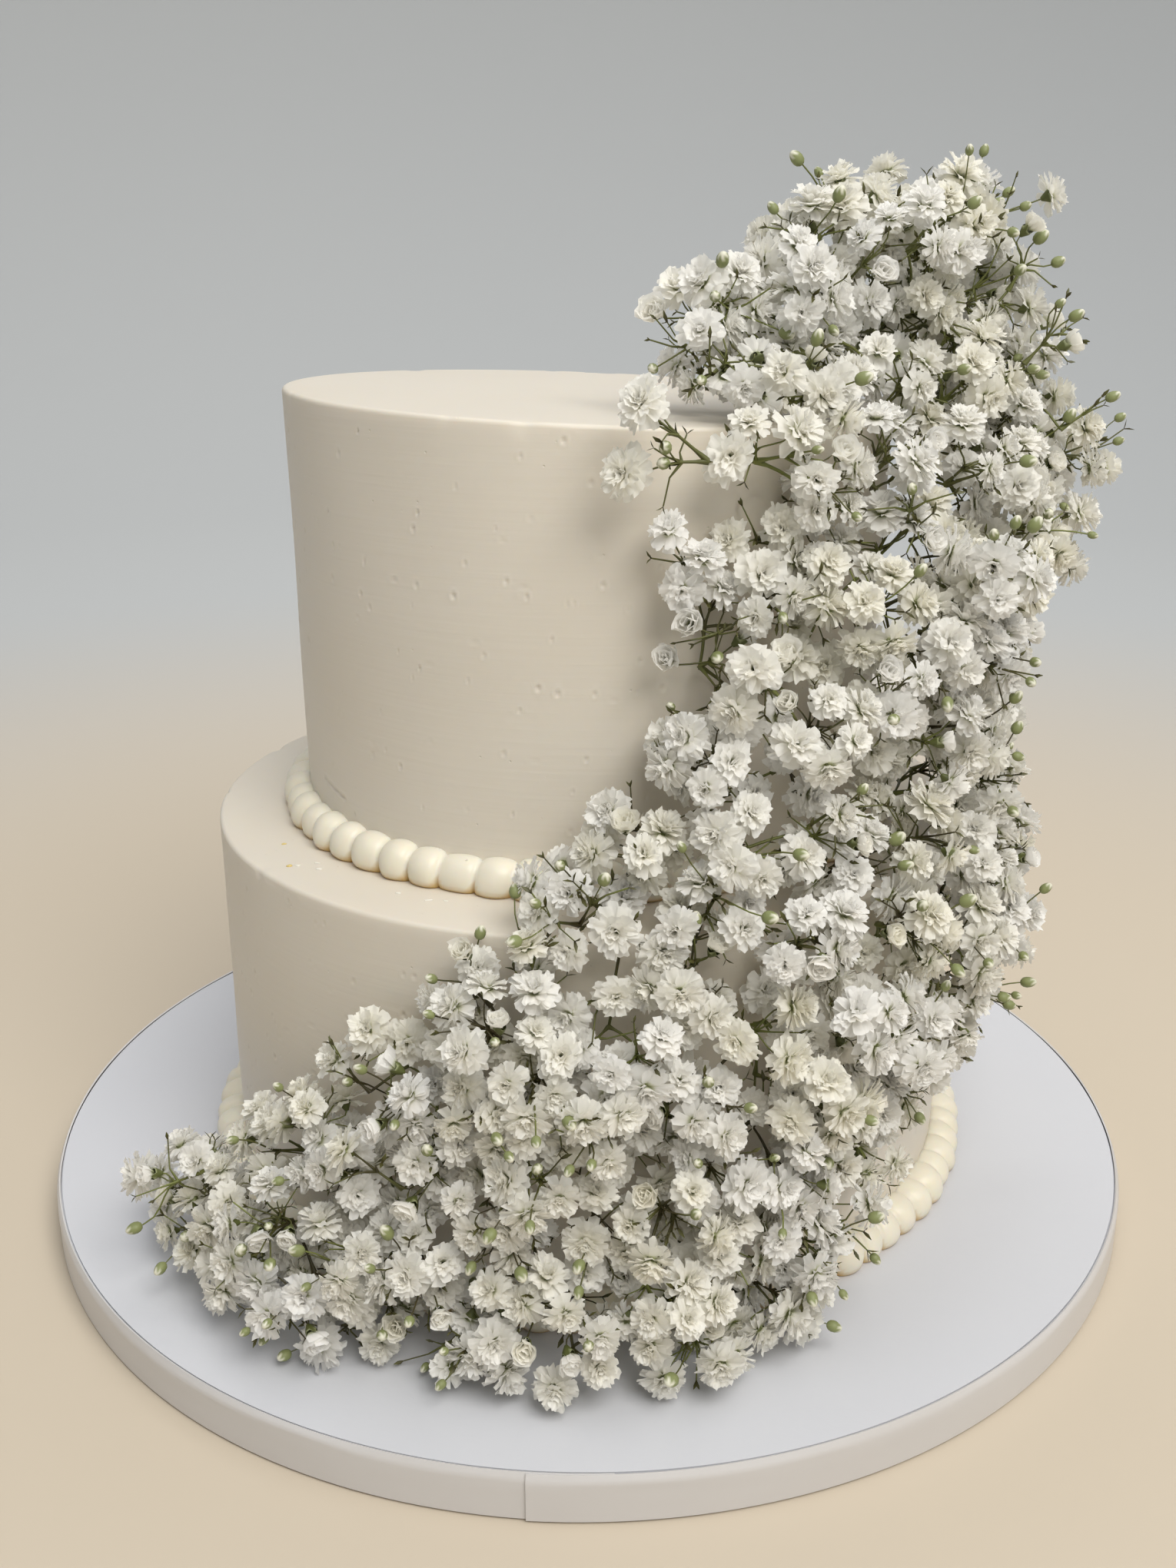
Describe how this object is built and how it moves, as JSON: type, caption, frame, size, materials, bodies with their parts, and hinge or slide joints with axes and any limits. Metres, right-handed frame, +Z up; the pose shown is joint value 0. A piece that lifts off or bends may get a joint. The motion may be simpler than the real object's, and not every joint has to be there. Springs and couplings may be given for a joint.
{
  "type": "wedding cake",
  "caption": "Tiered round wedding cake in smooth ivory buttercream with piped pearl borders and a cascade of baby's breath, on a round drum board.",
  "frame": {"origin": "centre of the drum board's underside", "axes": "+Z up, -Y out of the front of the cake, +X to the cascade's side"},
  "size_m": [0.3056, 0.3056, 0.2763],
  "materials": {
    "board_paper": "matt white embossed covering paper",
    "band_paper": "satin white edging band",
    "ivory_buttercream": "scraped smooth, soft satin",
    "piped_buttercream": "piped, soft satin",
    "babys_breath": "matt petals with thin green stems"
  },
  "bodies": {
    "root": {"board": "board_paper", "board_band": "band_paper", "lower_tier": "ivory_buttercream", "upper_tier": "ivory_buttercream", "lower_border": "piped_buttercream", "upper_border": "piped_buttercream", "spray_foot": "babys_breath", "spray_front": "babys_breath", "spray_ledge": "babys_breath", "spray_shoulder": "babys_breath", "spray_crown": "babys_breath"}
  },
  "joints": []
}
